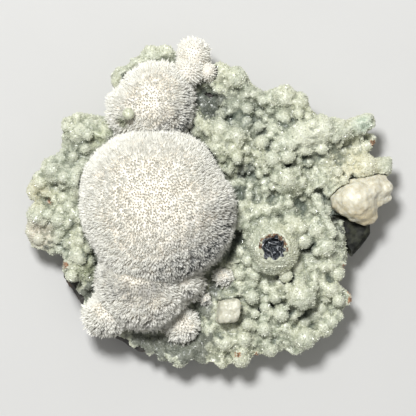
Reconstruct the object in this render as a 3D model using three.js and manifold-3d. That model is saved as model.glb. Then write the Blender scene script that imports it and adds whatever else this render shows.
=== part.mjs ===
// A mineral specimen that lies on the flat back of its rock, with its crystals up.
// White balls of mordenite needles grow on a pale green, knobbly crust of calcite, and the crust
// coats a block of dark basalt. A cream lump, a small cream crystal, a grey blade and the dark core
// of a broken stalactite sit in the same crust.
// Millimetres, +Z up. Seen from above, +X is right and +Y is up. The origin is on the flat
// underside, below the middle of the outline.

import * as THREE from 'three';
import { ConvexGeometry } from 'three/addons/geometries/ConvexGeometry.js';
import { mergeVertices } from 'three/addons/utils/BufferGeometryUtils.js';
import Module from 'manifold-3d';

const wasm = await Module();
wasm.setup();

// Driving sizes
const halfWidth = 60; // the specimen is about 120 wide
const halfLength = 53.5; // and 107 long
const crustMiddle = 21; // height of the crust's skin in the middle
const crustFall = 8; // how much lower the skin is at the outline
const crustSag = 4.8; // between its lumps the crust lies this far under its skin
const crustHang = 3.2; // how far it hangs under its middle line
const rockTop = 10.5;
const clearance = 0.35; // between a piece and the seat it grows from
const mergeDistance = 1e-4;

// Reach of the crust's middle line from the middle, every 15 degrees from +X; its rim stands outside
const crustReach = [
  44, 46, 44, 39, 36, 35.5, 39, 42.5, 43, 38.5, 42, 47,
  49, 47.5, 45, 44.5, 45, 46, 45.5, 46, 48, 47, 41, 42,
];
const spineHeight = 8; // height of that line
const skinRimEnd = 1.92; // on a ball the skin's top ends at the equator, and its rim at this angle
const rimTuck = -1.05; // the rim turns this far under level
const skinFill = 8; // how finely the skin is divided between its lumps
const skinGap = { lump: 1.6, crease: 1.8, fill: 4.2 }; // least distance between the skin's points
const creaseFan = [0, -0.9, 0.9]; // points of a crease, as angles round it from the top
const hiddenShare = 0.85; // under this share of a needle ball the skin is hidden and stays plain

// The rock shows past the crust between these angles, at the lower left
const bareFrom = 194;
const bareTo = 250;
const bareReach = 57;

// The lumps of the crust by region: x, y, radius, and lift above or below the skin
const leftShoulder = [
  [-43, 27.2, 2.2, 0], [-46, 25.6, 2.5, 0], [-39, 24, 3.3, 0], [-46.6, 21, 2.3, -1],
  [-42, 22, 4.2, 2], [-35, 21.5, 3.2, 0], [-47, 17.6, 2, -2],
];
const leftRidge = [
  [-48.4, 13.9, 3.2, 0], [-43.5, 13.5, 3, 0], [-52.3, 11.8, 3.1, 0], [-49.5, 9, 4.2, 3],
  [-44, 8, 4.5, 3], [-55.2, 7.4, 3.1, 1], [-57.2, 4.4, 2.7, 1], [-40, 12.5, 2.6, 0],
];
const leftKnob = [
  [-44.5, 2, 4, 0], [-49, -1, 3.2, 0], [-55.1, -4.2, 4.8, 1], [-56.6, -8.6, 3.5, 0],
  [-56, -12, 2.9, 0], [-48, -6, 4.2, 2], [-43.5, -4, 4, 2], [-49.5, -11.5, 3.2, 0],
];
const leftFoot = [
  [-43, -13.5, 4.2, 2], [-43.5, -18.5, 4.7, 2], [-45.2, -21.5, 3, 0], [-41, -22.5, 3.2, 0],
  [-41, -27, 3.2, -3], [-40, -34.5, 2.3, -2], [-38.4, -38.6, 2, -2],
];
const topBack = [
  [-28.4, 40, 4.3, 1], [-24, 43.8, 3.4, 1], [-19.5, 47.3, 3.6, 1], [-15, 48.3, 2.8, 1],
  [-22, 47.6, 1.9, 0],
];
const topShoulder = [
  [2.5, 41.8, 3.6, 2], [7, 40, 4.2, 3], [11, 37, 3, 1], [4, 35.5, 3.2, 2],
  [10, 34, 2.6, 0], [1, 30.5, 3.2, 0], [6, 29.5, 2.6, -1],
];
const topPeak = [
  [16, 34, 2.7, 0], [23, 34, 4.2, 3], [27, 32, 4.2, 2], [23.5, 29.5, 3.2, 1],
  [28.7, 28.8, 3, 0],
];
const topBeads = [
  [12, 31, 2.1, 0], [10.5, 27, 2.1, 0], [18.5, 31, 1.9, 1], [16, 28.5, 1.9, 0],
  [15, 24.5, 2.6, 0], [20, 24.5, 2.8, 1], [22.5, 27, 2.2, 1],
];
const middleLeft = [
  [3, 23.5, 4, 3], [7.5, 21.5, 4.2, 3], [2, 18, 4, 2], [7, 16.5, 3.6, 2],
  [-1.5, 24, 2.6, 1], [16, 19.5, 2.7, 1], [12.5, 16.5, 2.6, 0], [5, 11.5, 2.6, 0],
];
const longRidge = [
  [23, 19.5, 4.5, 3], [28.5, 22, 5.2, 4], [35, 23.5, 5.2, 4], [41, 23.5, 4.2, 3],
  [45.5, 24.6, 3.3, 3], [49.3, 26, 3.2, 3], [34.5, 27.2, 2.6, 2], [29.5, 17.5, 3.6, 3],
  [35.5, 18, 3.2, 3], [39, 19.5, 2.6, 2], [26.5, 14, 2.2, 1], [32, 14.5, 2.2, 1],
  [37, 14.5, 2.2, 1], [20.5, 17, 2.2, 2],
];
const middleRight = [
  [18.5, 13, 3.2, 2], [24, 8, 4.2, 3], [27.5, 6.5, 2.8, 2], [19.5, 7, 2.6, 1],
  [15, 9, 2, 0], [17, 4.5, 2, 0], [31, 4.5, 2, 0], [32, 10, 2.2, 0], [35.5, 7, 2.6, 0],
  [40, 10, 2.6, 1], [37.5, 12.5, 2, 0],
];
const rightEdge = [
  [44.5, 15.5, 2.2, -1], [48.4, 17, 2.6, -1], [50.4, 20.6, 2.4, -2], [42.5, 5.5, 3.6, 1],
  [39, 3.5, 2.2, 0], [49, 12, 4.2, 1], [54, 11.5, 3.6, 0], [56, 13.4, 1.8, 0],
];
const middleLow = [
  [9, 7, 3.2, 0], [11.5, 3.5, 2.6, 0], [10, -0.5, 2.3, -1], [16, -2, 4.2, 0],
  [21, -0.5, 3, 0], [25, 0, 2, -1], [28, 0, 2.6, -2], [11, -4.5, 2.6, 0], [9, -7, 2.6, -1],
];
const rightShelf = [
  [26.5, -8, 4.5, 2], [33, -8.5, 4.2, 2], [36, -13.5, 4.2, 2], [40, -15, 3, 0],
  [41, -18.5, 2.3, 0], [37, -19.5, 3.6, 0], [31.5, -15, 3, 0], [32, -20.5, 3.2, 0],
  [34, -24.5, 3, 0],
];
const stubBeads = [
  [9, -14, 2.3, 0], [10.5, -18.5, 2.3, 1], [9, -21.5, 2.3, 0], [13, -22, 2.1, 1],
  [6, -18.5, 2.3, -2], [4, -23, 3, -2], [4, -29.5, 2.6, -1], [9, -27.5, 2.9, 0],
];
const lowerRight = [
  [28, -29.5, 5.8, 3], [20, -27.5, 3, 0], [16.5, -26.5, 2.3, 0], [13.5, -29.5, 2.6, 0],
  [18, -31, 2.6, 0], [22, -34, 3, 0], [37.5, -27.5, 3.6, 1], [41.6, -30.6, 3.2, 0],
  [36, -32.5, 2.3, -1], [39.6, -35.8, 2.7, 0], [35.4, -39.6, 3.5, 0], [29.5, -36.5, 2.6, -4],
];
const lowerEdge = [
  [29.5, -43, 3.9, 2], [26.5, -46, 3, 0], [18.5, -45.8, 3.4, 0], [23, -40.5, 3, 0],
  [18, -41, 2.5, 1], [12.5, -39, 3, 0], [10, -43.5, 3.5, 0], [9, -49, 3.6, 0],
  [4, -44.5, 3.6, 0], [3.2, -50.8, 2.5, 0], [0, -41, 3, 0], [-1, -45, 3, -1],
  [12.5, -34.5, 2.6, 0], [16, -36, 2.6, 0],
];
const lowerLeft = [
  [-3, -49.2, 2.9, -1], [-10.5, -49.2, 3.5, -1], [-7, -47, 3, -1], [-15.4, -48, 3, -1],
  [-20.5, -45, 2.8, -2], [-25, -44.6, 2.3, -2], [-1, -31, 3, -2], [0, -36.5, 3, -2],
];
const crustLumps = [
  leftShoulder, leftRidge, leftKnob, leftFoot, topBack, topShoulder, topPeak, topBeads, middleLeft,
  longRidge, middleRight, rightEdge, middleLow, rightShelf, stubBeads, lowerRight, lowerEdge, lowerLeft,
].flat();
const lumpSink = 1.4; // a lump's middle lies this far under the skin

// Hollows that the skin and its lumps sink into: x, y, reach and depth
const hollows = [
  [1, 32, 8, 5], [13.5, 27, 7.5, 3], [10, 6.5, 7.5, 5.5], [8, -12, 5.5, 5], [31, -13, 5, 3],
  [31, -37, 6.5, 3.5], [14.5, -1.5, 5, 2.5], [30, 0.5, 5, 3], [38.5, -2.5, 4, 3], [33, 13, 5, 2],
];
const leastCover = 1.5; // but the skin stays this far over its middle line
const coarseLump = 3.25; // lumps under this radius get the plainer ball
const ballTilt = 0.5536; // turns a corner of a faceted ball to the top
const outsideSlack = 0.2; // a place this far from the skin still counts as on it

// A second row of lumps hangs under the outline and hides the rock's upper edge
const hem = { count: 44, radius: 3, height: 8.5, outset: 1.4, sway: 0.6 };
const hemStep = { x: 1.3, y: 0.7, z: 2.1 }; // how much that row varies from lump to lump

// Two thin stalactites that lie on the crust: both ends and a radius
const fingers = [
  { from: [33.4, 1.2, 22.5], to: [38, -9.5, 21], radius: 1.8 },
  { from: [32, -2.5, 19.5], to: [35, -8.5, 19.5], radius: 1.3 },
];
const fingerSides = 8;
const fingerCapSteps = 3;

// The broken stalactite stands towards the viewer, with a ragged hole for its dark core
const stub = {
  x: 19.3, y: -14.2, base: 15, top: 26.5, floor: 20.5,
  foot: 9.2, shoulder: 8.5, brow: 6.6, lip: 5.2, hole: 4.4,
};
const stubRise = { foot: 5, shoulder: 3.4, brow: 0.9 }; // foot above the base, the others below the top
const stubSides = 18;
const core = {
  wall: 0.8, dish: 4.4, knob: 0.5, flange: 0.55, flangeRise: 0.7, lipRise: 0.3,
  teeth: 14, ragged: 0.07, crumple: 0.7, crumpleWaves: 3,
};

// How far the two large balls reach, as a share of their radius, every 30 degrees from +X
const greatOutline = [1, 0.91, 0.99, 0.99, 1.05, 1.06, 1, 0.96, 0.99, 0.97, 1.03, 1.03];
const upperOutline = [1, 1, 1, 0.93, 0.83, 0.78, 0.96, 1.04, 1, 1, 1, 1.05];
const greatDome = 0.78; // under 1 the dome is flatter on top and steeper at its sides than a ball

// Needle balls: middle, radius, height above the middle, depth below it, and the needles' length.
// The great ball, its lower tiers, the upper ball with its column and the low fan have grown together.
const puffBalls = [
  {
    x: -17.4, y: -1.1, z: 22, radius: 25.3, up: 23.5, down: 9, detail: 4, needle: 2.2,
    outline: greatOutline, dome: greatDome,
  },
  { x: -22.2, y: -25.4, z: 19, radius: 15.7, up: 16, down: 6.4, detail: 2, needle: 2.2 },
  { x: -9.4, y: -24.6, z: 20, radius: 6.4, up: 8, down: 5, detail: 1, needle: 1.8 },
  { x: -33.8, y: -34.7, z: 15.5, radius: 8.6, up: 9.5, down: 2.6, detail: 1, needle: 1.8 },
  {
    x: -20, y: 32.2, z: 17.5, radius: 14.7, up: 15, down: 5.2, detail: 2, needle: 2,
    outline: upperOutline,
  },
  { x: -7.8, y: 42.4, z: 17.5, radius: 5.4, up: 7, down: 2.8, detail: 1, needle: 1.2 },
  { x: -6.1, y: 47.8, z: 15.5, radius: 5.8, up: 6.8, down: 2.6, detail: 1, needle: 1.2 },
  { x: -1.6, y: 42.2, z: 17, radius: 3.3, up: 4.5, down: 2.2, detail: 0, needle: 0.8 },
  { x: -9.8, y: -38.9, z: 13.6, radius: 6.5, up: 6.8, down: 1.6, detail: 1, needle: 1.6 },
];
const rightTuft = [
  { x: 3.4, y: -23.5, z: 18, radius: 3.1, up: 4, down: 2, detail: 0, needle: 0.9 },
];
const smallTuft = [
  { x: -2.3, y: -30.6, z: 16.5, radius: 2.1, up: 3.2, down: 1.6, detail: 0, needle: 0.7 },
];
const balls = [...puffBalls, ...rightTuft, ...smallTuft];
const needleLine = -0.08; // needles stand above this height of a ball of radius 1
const bareBelow = -0.04; // a face whose middle is lower than this stays bare
const tipSway = 0.25; // how far the bundles' tips vary in height
const tipStep = { x: 1, y: 0.7, z: 0.3 }; // and how much from bundle to bundle
const bigBall = 10; // balls over this radius get the finer seat
const seatDetail = { big: 3, small: 1 };
const seatSpan = 0.7; // a seat's faces cut inside its ball by about this angle over its divisions

// The cream lump at the right edge: x, y, z and radius
const creamLobes = [
  [46, 1.2, 15.8, 7.1], [51, 4.8, 15, 4.6], [41, 0.4, 15.4, 4], [48.6, -2.4, 14.8, 4.8],
  [57, 3.4, 13.2, 2.7], [53.6, 3.8, 14, 3.6], [56.2, 6.4, 14, 2.5], [53.4, 8, 14, 3.2],
];
const creamDetail = 2;

// A small cream rhomb, and a grey blade under the cream lump
const rhomb = {
  x: 5, y: -34.4, z: 18.2, width: 6.4, length: 6.7, height: 7.5,
  slant: 0.2, lean: 0.15, pitch: 0.12, turn: 0.08,
};
const blade = {
  outline: [[38.5, -4], [50.7, -4.6], [50.8, -9.6], [47.6, -14], [44.7, -17], [41.6, -13]],
  bottom: 8, thickness: 5, bevel: 1.2,
};

// One round bead has grown on the upper ball
const bead = { x: -26.7, y: 28.4, z: 31.2, radius: 2, socket: 1 };

const colours = {
  basalt: { color: 0x3a3936, roughness: 0.9, metalness: 0 },
  crust: { color: 0xb9c4a8, roughness: 0.45, metalness: 0 },
  needles: { color: 0xf0efe8, roughness: 0.6, metalness: 0 },
  cream: { color: 0xe9dfc6, roughness: 0.5, metalness: 0 },
  blade: { color: 0x77796f, roughness: 0.25, metalness: 0 },
  core: { color: 0x2a2d33, roughness: 0.4, metalness: 0.3 },
};

// Solids and meshes

function toSolid(geometry) {
  const bare = geometry.index ? geometry.toNonIndexed() : geometry.clone();
  bare.deleteAttribute('normal');
  bare.deleteAttribute('uv');
  const merged = mergeVertices(bare, mergeDistance);
  return new wasm.Manifold(new wasm.Mesh({
    numProp: 3,
    vertProperties: merged.attributes.position.array,
    triVerts: new Uint32Array(merged.index.array),
  }));
}

function toMesh(name, solid, look) {
  const { vertProperties, triVerts } = solid.getMesh();
  const shared = new THREE.BufferGeometry();
  shared.setAttribute('position', new THREE.BufferAttribute(new Float32Array(vertProperties), 3));
  shared.setIndex(new THREE.BufferAttribute(triVerts, 1));
  const geometry = shared.toNonIndexed();
  geometry.computeVertexNormals();
  const mesh = new THREE.Mesh(geometry, new THREE.MeshStandardMaterial({ ...look, flatShading: true }));
  mesh.name = name;
  return mesh;
}

function joined(solids) {
  return solids.reduce((whole, next) => whole.add(next));
}

// Cuts and joins leave thin flakes and sealed bubbles, and only the piece itself is kept
function largestBody(solid) {
  return solid.decompose().reduce((best, next) => (next.volume() > best.volume() ? next : best));
}

function movePoints(geometry, place) {
  const points = geometry.attributes.position;
  const point = new THREE.Vector3();
  for (let i = 0; i < points.count; i++) {
    point.fromBufferAttribute(points, i);
    const moved = place(point);
    points.setXYZ(i, moved.x, moved.y, moved.z);
  }
  return geometry;
}

// A ball of radius 1 whose faces share their corners
function sharedBall(detail) {
  const ball = new THREE.IcosahedronGeometry(1, detail);
  ball.deleteAttribute('normal');
  ball.deleteAttribute('uv');
  return mergeVertices(ball, mergeDistance);
}

// The lie of the land

function skinHeight(x, y) {
  const dome = crustMiddle - crustFall * ((x / halfWidth) ** 2 + (y / halfLength) ** 2);
  return hollows.reduce((height, [middleX, middleY, reach, depth]) => {
    const away = Math.hypot(x - middleX, y - middleY);
    return height - depth * (1 - THREE.MathUtils.smoothstep(away, 0, reach));
  }, dome);
}

function degreesOf(x, y) {
  return THREE.MathUtils.euclideanModulo(THREE.MathUtils.radToDeg(Math.atan2(y, x)), 360);
}

// The value at an angle, from a list that goes evenly round a full circle
function valueAround(list, degrees) {
  const step = 360 / list.length;
  const index = Math.floor(degrees / step) % list.length;
  const share = THREE.MathUtils.smoothstep(degrees / step - Math.floor(degrees / step), 0, 1);
  return THREE.MathUtils.lerp(list[index], list[(index + 1) % list.length], share);
}

function reachAt(degrees) {
  return valueAround(crustReach, degrees);
}

// A smooth wave between -1 and 1 that breaks up regular shapes
function wave(x, y, z) {
  const first = Math.sin(1.7 * x + 2.3 * y + 0.9);
  const second = Math.cos(1.3 * y - 2.1 * z + 0.4);
  const third = Math.sin(1.9 * z + 1.1 * x + 2.2);
  return first * second * third;
}

// Basalt: a block with broken faces, a flat underside and sides that lean in towards it

const rockBands = [
  { height: 0, reach: 0.74, chip: 1.5 },
  { height: 3.6, reach: 0.86, chip: 2.2 },
  { height: 8.4, reach: 0.94, chip: 1.6 },
  { height: rockTop, reach: 0.92, chip: 0.8 },
];
const rockSides = 28;
const chipStep = { x: 0.21, y: 3.1, z: 0.13 }; // how fast the chips change round the rock and up it

function basaltSolid(grow) {
  const block = new THREE.CylinderGeometry(1, 1, rockBands.length - 1, rockSides, rockBands.length - 1);
  block.rotateX(Math.PI / 2);
  movePoints(block, ({ x, y, z }) => {
    const bandNumber = Math.round(z + (rockBands.length - 1) / 2);
    const band = rockBands[bandNumber];
    const degrees = degreesOf(x, y);
    const bare = degrees > bareFrom && degrees < bareTo;
    const reach = (bare ? bareReach : reachAt(degrees)) * band.reach;
    const chip = band.chip * wave(degrees * chipStep.x, bandNumber * chipStep.y, degrees * chipStep.z);
    const spread = Math.hypot(x, y) * (reach + chip + grow);
    const angle = Math.atan2(y, x);
    const lift = bandNumber === rockBands.length - 1 ? grow : 0;
    return { x: spread * Math.cos(angle), y: spread * Math.sin(angle), z: band.height + lift };
  });
  return toSolid(block);
}

// Lumpy skins: every point of a ball is pushed out along a ray to the far side of the lumps

function farSide(start, direction, lumps, least) {
  let far = least;
  for (const [x, y, z, radius] of lumps) {
    const toLump = new THREE.Vector3(x, y, z).sub(start);
    const along = toLump.dot(direction);
    const half = radius * radius - toLump.lengthSq() + along * along;
    if (half > 0) far = Math.max(far, along + Math.sqrt(half));
  }
  return far;
}

function lumpyBall(lumps, detail, grow = 0) {
  const [x, y, z] = lumps[0];
  const middle = new THREE.Vector3(x, y, z);
  return toSolid(movePoints(sharedBall(detail), (direction) => (
    middle.clone().addScaledVector(direction, farSide(middle, direction, lumps, 0) + grow)
  )));
}

// Calcite crust: its skin is pushed up and out from a spine, and fingers and the stub are fused on

function crustLump([x, y, radius, lift]) {
  return [x, y, skinHeight(x, y) - lumpSink + lift, radius];
}

function hemLumps() {
  const lumps = [];
  for (let i = 0; i < hem.count; i++) {
    const degrees = (i * 360) / hem.count;
    if (degrees > bareFrom && degrees < bareTo) continue;
    const angle = THREE.MathUtils.degToRad(degrees);
    const sway = wave(i * hemStep.x, i * hemStep.y, i * hemStep.z);
    const reach = reachAt(degrees) + hem.outset + sway;
    const radius = hem.radius + hem.sway * sway;
    lumps.push([reach * Math.cos(angle), reach * Math.sin(angle), hem.height - sway, radius]);
  }
  return lumps;
}

// Where a point of a ball of radius 1 starts on the spine, and which way it is pushed
function spineRay(point) {
  const polar = Math.acos(THREE.MathUtils.clamp(point.z, -1, 1));
  const angle = Math.atan2(point.y, point.x);
  const reach = reachAt(degreesOf(point.x, point.y));
  let spread = reach;
  let tilt = Math.PI / 2;
  if (polar < Math.PI / 2) {
    spread = reach * Math.tan(polar / 2);
  } else if (polar < skinRimEnd) {
    tilt = THREE.MathUtils.mapLinear(polar, Math.PI / 2, skinRimEnd, Math.PI / 2, rimTuck);
  } else {
    spread = reach * (Math.PI - polar) / (Math.PI - skinRimEnd);
    tilt = THREE.MathUtils.mapLinear(polar, skinRimEnd, Math.PI, rimTuck, -Math.PI / 2);
  }
  const out = new THREE.Vector3(Math.cos(angle), Math.sin(angle), 0);
  const start = out.clone().multiplyScalar(spread).setZ(spineHeight);
  return { start, direction: out.multiplyScalar(Math.cos(tilt)).setZ(Math.sin(tilt)) };
}

// The other way round: the point of that ball that is pushed out towards a place
function ballPointOf(place) {
  const angle = Math.atan2(place.y, place.x);
  const reach = reachAt(degreesOf(place.x, place.y));
  const spread = Math.hypot(place.x, place.y);
  let polar = 2 * Math.atan(spread / reach);
  if (spread > reach) {
    const tilt = Math.max(rimTuck, Math.atan2(place.z - spineHeight, spread - reach));
    polar = THREE.MathUtils.mapLinear(tilt, Math.PI / 2, rimTuck, Math.PI / 2, skinRimEnd);
  }
  const level = Math.sin(polar);
  return new THREE.Vector3(level * Math.cos(angle), level * Math.sin(angle), Math.cos(polar));
}

function pushOut(point, lumps) {
  const { start, direction } = spineRay(point);
  const cover = Math.max(leastCover, skinHeight(start.x, start.y) - crustSag - spineHeight);
  const least = direction.z < 0 ? crustHang : cover;
  return start.addScaledVector(direction, farSide(start, direction, lumps, least));
}

// Places on a lump: the corners of a faceted ball
function lumpPlaces([x, y, z, radius]) {
  const corners = sharedBall(radius < coarseLump ? 0 : 1);
  corners.rotateX(ballTilt);
  corners.rotateZ(x + y);
  const { position } = corners.attributes;
  return Array.from({ length: position.count }, (_, i) => (
    new THREE.Vector3().fromBufferAttribute(position, i).multiplyScalar(radius).add({ x, y, z })
  ));
}

// Places in the crease between two lumps: on the circle where they meet
function creasePlaces([ax, ay, az, ar], [bx, by, bz, br]) {
  const a = new THREE.Vector3(ax, ay, az);
  const across = new THREE.Vector3(bx, by, bz).sub(a);
  const distance = across.length();
  across.normalize();
  const along = (distance ** 2 + ar ** 2 - br ** 2) / (2 * distance);
  const radius = Math.sqrt(ar ** 2 - along ** 2);
  if (distance > ar + br || !(radius > 0)) return [];
  const top = new THREE.Vector3(0, 0, 1).addScaledVector(across, -across.z).setLength(radius);
  const middle = a.addScaledVector(across, along);
  return creaseFan.map((angle) => top.clone().applyAxisAngle(across, angle).add(middle));
}

function crustSkin() {
  const lumps = [...crustLumps.map(crustLump), ...hemLumps()];
  const underBall = ({ x, y }) => balls.some((ball) => (
    Math.hypot(x - ball.x, y - ball.y) < ball.radius * hiddenShare
  ));
  const chosen = [];
  const points = [];
  const choose = (point, place, gap) => {
    if (chosen.some((other) => other.distanceTo(place) < gap)) return;
    chosen.push(place);
    points.push(point);
  };
  const chooseOutside = (place, gap) => {
    const point = ballPointOf(place);
    const outside = pushOut(point, lumps).distanceTo(place) < outsideSlack;
    if (outside && !underBall(place)) choose(point, place, gap);
  };
  for (const lump of lumps) for (const place of lumpPlaces(lump)) chooseOutside(place, skinGap.lump);
  lumps.forEach((lump, i) => lumps.slice(i + 1).forEach((other) => {
    for (const place of creasePlaces(lump, other)) chooseOutside(place, skinGap.crease);
  }));
  const fill = sharedBall(skinFill).attributes.position;
  for (let i = 0; i < fill.count; i++) {
    const point = new THREE.Vector3().fromBufferAttribute(fill, i);
    choose(point, pushOut(point, lumps), skinGap.fill);
  }
  const hull = new ConvexGeometry(points);
  hull.deleteAttribute('normal');
  return toSolid(movePoints(mergeVertices(hull, mergeDistance), (point) => pushOut(point, lumps)));
}

function fingerSolid({ from, to, radius }) {
  const start = new THREE.Vector3(...from);
  const end = new THREE.Vector3(...to);
  const along = end.clone().sub(start);
  const rod = new THREE.CapsuleGeometry(radius, along.length(), fingerCapSteps, fingerSides);
  const turn = new THREE.Quaternion().setFromUnitVectors(THREE.Object3D.DEFAULT_UP, along.normalize());
  rod.applyQuaternion(turn);
  const middle = start.add(end).multiplyScalar(0.5);
  rod.translate(middle.x, middle.y, middle.z);
  return toSolid(rod);
}

function lathed(profile) {
  const turned = new THREE.LatheGeometry(profile.map(([r, z]) => new THREE.Vector2(r, z)), stubSides);
  turned.rotateX(Math.PI / 2);
  turned.translate(stub.x, stub.y, 0);
  return toSolid(turned);
}

function stubSolid() {
  return lathed([
    [0, stub.base], [stub.foot, stub.base], [stub.foot, stub.base + stubRise.foot],
    [stub.shoulder, stub.top - stubRise.shoulder], [stub.brow, stub.top - stubRise.brow],
    [stub.lip, stub.top], [0, stub.top],
  ]);
}

function stubHole() {
  const above = stub.top + clearance;
  return lathed([[0, stub.floor], [stub.hole, stub.floor], [stub.hole, above], [0, above]]);
}

// Needle balls: each face of a ball above its seat carries one bundle of needles, a small pyramid

function ballPoint(ball, direction, radius) {
  const outline = ball.outline ?? [1];
  const dome = ball.dome ?? 1;
  const spread = radius * valueAround(outline, degreesOf(direction.x, direction.y));
  const rise = direction.z > 0 ? ball.up * direction.z ** dome : ball.down * direction.z;
  return new THREE.Vector3(
    ball.x + spread * direction.x,
    ball.y + spread * direction.y,
    ball.z + rise * (radius / ball.radius),
  );
}

function needleBall(ball) {
  const faces = new THREE.IcosahedronGeometry(1, ball.detail).attributes.position;
  const rootRadius = ball.radius - ball.needle;
  const rootOf = (corner) => ballPoint(ball, corner, corner.z < needleLine ? ball.radius : rootRadius);
  const points = [];
  for (let i = 0; i < faces.count; i += 3) {
    const corners = [0, 1, 2].map((k) => new THREE.Vector3().fromBufferAttribute(faces, i + k));
    const middle = corners.reduce((sum, corner) => sum.add(corner), new THREE.Vector3()).normalize();
    const [a, b, c] = corners.map(rootOf);
    if (middle.z < bareBelow) {
      points.push(a, b, c);
      continue;
    }
    const sway = tipSway * (wave(i * tipStep.x, i * tipStep.y, i * tipStep.z) - 1);
    const tip = ballPoint(ball, middle, ball.radius + sway);
    points.push(a, b, tip, b, c, tip, c, a, tip);
  }
  return toSolid(new THREE.BufferGeometry().setFromPoints(points));
}

function needlePuff(grownTogether) {
  return largestBody(joined(grownTogether.map(needleBall)));
}

function seatFor(ball) {
  const detail = ball.radius > bigBall ? seatDetail.big : seatDetail.small;
  const radius = (ball.radius + clearance) / Math.cos(seatSpan / (detail + 1));
  return toSolid(movePoints(sharedBall(detail), (point) => ballPoint(ball, point.clone(), radius)));
}

// Cream rhomb and grey blade

function rhombSolid(grow) {
  const box = new THREE.BoxGeometry(rhomb.width + grow, rhomb.length + grow, rhomb.height + grow);
  movePoints(box, ({ x, y, z }) => ({ x: x + rhomb.slant * y + rhomb.lean * z, y, z: z + rhomb.pitch * x }));
  box.rotateZ(rhomb.turn);
  box.translate(rhomb.x, rhomb.y, rhomb.z);
  return toSolid(box);
}

function bladeSolid(grow) {
  const shape = new THREE.Shape(blade.outline.map(([x, y]) => new THREE.Vector2(x, y)));
  const slab = new THREE.ExtrudeGeometry(shape, {
    depth: blade.thickness - 2 * blade.bevel + 2 * grow,
    bevelThickness: blade.bevel,
    bevelSize: blade.bevel,
    bevelOffset: grow - blade.bevel,
    bevelSegments: 1,
  });
  slab.translate(0, 0, blade.bottom + blade.bevel - grow);
  return toSolid(slab);
}

// The core lines the stub's hole: a dish with a crumpled floor and a ragged flange round the mouth

function coreSolid() {
  const outer = stub.hole - clearance;
  const inner = outer - core.wall;
  const floor = stub.floor + clearance;
  const bed = floor + core.dish;
  const lip = stub.top + clearance;
  const dish = new THREE.LatheGeometry([
    [0, floor], [outer, floor], [outer, lip], [outer + core.flange, lip], [outer, lip + core.flangeRise],
    [inner, lip + core.lipRise], [inner, bed], [inner / 2, bed + core.knob], [0, bed],
  ].map(([r, z]) => new THREE.Vector2(r, z)), core.teeth);
  dish.rotateX(Math.PI / 2);
  const roughen = (x, y, z) => core.crumple * wave(core.crumpleWaves * x, core.crumpleWaves * y, z);
  movePoints(dish, ({ x, y, z }) => {
    const radius = Math.hypot(x, y);
    const tooth = Math.round((degreesOf(x, y) / 360) * core.teeth);
    const ragged = radius > outer + clearance ? 1 + core.ragged * (tooth % 2) : 1;
    const crumple = z >= bed && radius < inner - clearance ? roughen(x, y, z) : 0;
    return { x: x * ragged + stub.x, y: y * ragged + stub.y, z: z + crumple };
  });
  return toSolid(dish);
}

// Assembly: everything that grows on the crust is cut into it first

const lumpSeat = lumpyBall(creamLobes, creamDetail, clearance);
const bladeSeat = bladeSolid(clearance);
const beadAt = (grow) => lumpyBall([[bead.x, bead.y, bead.z, bead.radius + grow]], 1);

const basalt = basaltSolid(0).subtract(lumpSeat).subtract(bladeSeat);
const crust = [
  basaltSolid(clearance), stubHole(), lumpSeat, bladeSeat, rhombSolid(2 * clearance), ...balls.map(seatFor),
].reduce((rest, cut) => rest.subtract(cut), joined([crustSkin(), ...fingers.map(fingerSolid), stubSolid()]));

const specimen = new THREE.Group();
specimen.add(
  toMesh('basalt_base', largestBody(basalt), colours.basalt),
  toMesh('calcite_crust', largestBody(crust), colours.crust),
  toMesh('mordenite_puff', largestBody(needlePuff(puffBalls).subtract(beadAt(bead.socket))), colours.needles),
  toMesh('mordenite_tuft_right', needlePuff(rightTuft), colours.needles),
  toMesh('mordenite_tuft_small', needlePuff(smallTuft), colours.needles),
  toMesh('cream_lump', lumpyBall(creamLobes, creamDetail), colours.cream),
  toMesh('cream_rhomb', rhombSolid(0), colours.cream),
  toMesh('grey_blade', largestBody(bladeSolid(0).subtract(lumpSeat)), colours.blade),
  toMesh('stalactite_core', coreSolid(), colours.core),
  toMesh('calcite_bead', beadAt(0), colours.crust),
);

export default specimen;
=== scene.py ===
import math
import random

import bmesh
import bpy
import numpy as np
from mathutils import Euler, Matrix, Vector, noise
from mathutils.bvhtree import BVHTree
from mathutils.kdtree import KDTree


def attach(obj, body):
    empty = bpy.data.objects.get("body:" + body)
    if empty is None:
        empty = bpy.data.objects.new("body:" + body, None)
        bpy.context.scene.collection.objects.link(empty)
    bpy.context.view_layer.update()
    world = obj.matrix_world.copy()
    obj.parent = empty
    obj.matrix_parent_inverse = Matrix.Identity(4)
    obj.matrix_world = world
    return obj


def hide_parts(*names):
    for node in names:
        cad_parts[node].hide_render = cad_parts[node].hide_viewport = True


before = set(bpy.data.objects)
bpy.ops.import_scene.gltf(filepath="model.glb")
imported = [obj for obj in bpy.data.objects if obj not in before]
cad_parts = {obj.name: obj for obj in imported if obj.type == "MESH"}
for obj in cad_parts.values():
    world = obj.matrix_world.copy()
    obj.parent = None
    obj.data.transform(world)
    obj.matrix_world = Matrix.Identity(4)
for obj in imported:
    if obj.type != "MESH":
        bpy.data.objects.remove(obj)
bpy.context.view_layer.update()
mm = 0.001
print("frame loaded")


# Nodes: a wire wraps a socket, so that shader maths can be written as an expression
class Wire:
    def __init__(self, graph, socket):
        self.graph = graph
        self.socket = socket

    def maths(self, operation, first, second):
        return self.graph.add("ShaderNodeMath", {"operation": operation}, {0: first, 1: second})

    def __add__(self, other):
        return self.maths("ADD", self, other)

    def __radd__(self, other):
        return self.maths("ADD", other, self)

    def __sub__(self, other):
        return self.maths("SUBTRACT", self, other)

    def __rsub__(self, other):
        return self.maths("SUBTRACT", other, self)

    def __mul__(self, other):
        return self.maths("MULTIPLY", self, other)

    def __rmul__(self, other):
        return self.maths("MULTIPLY", other, self)


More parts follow.
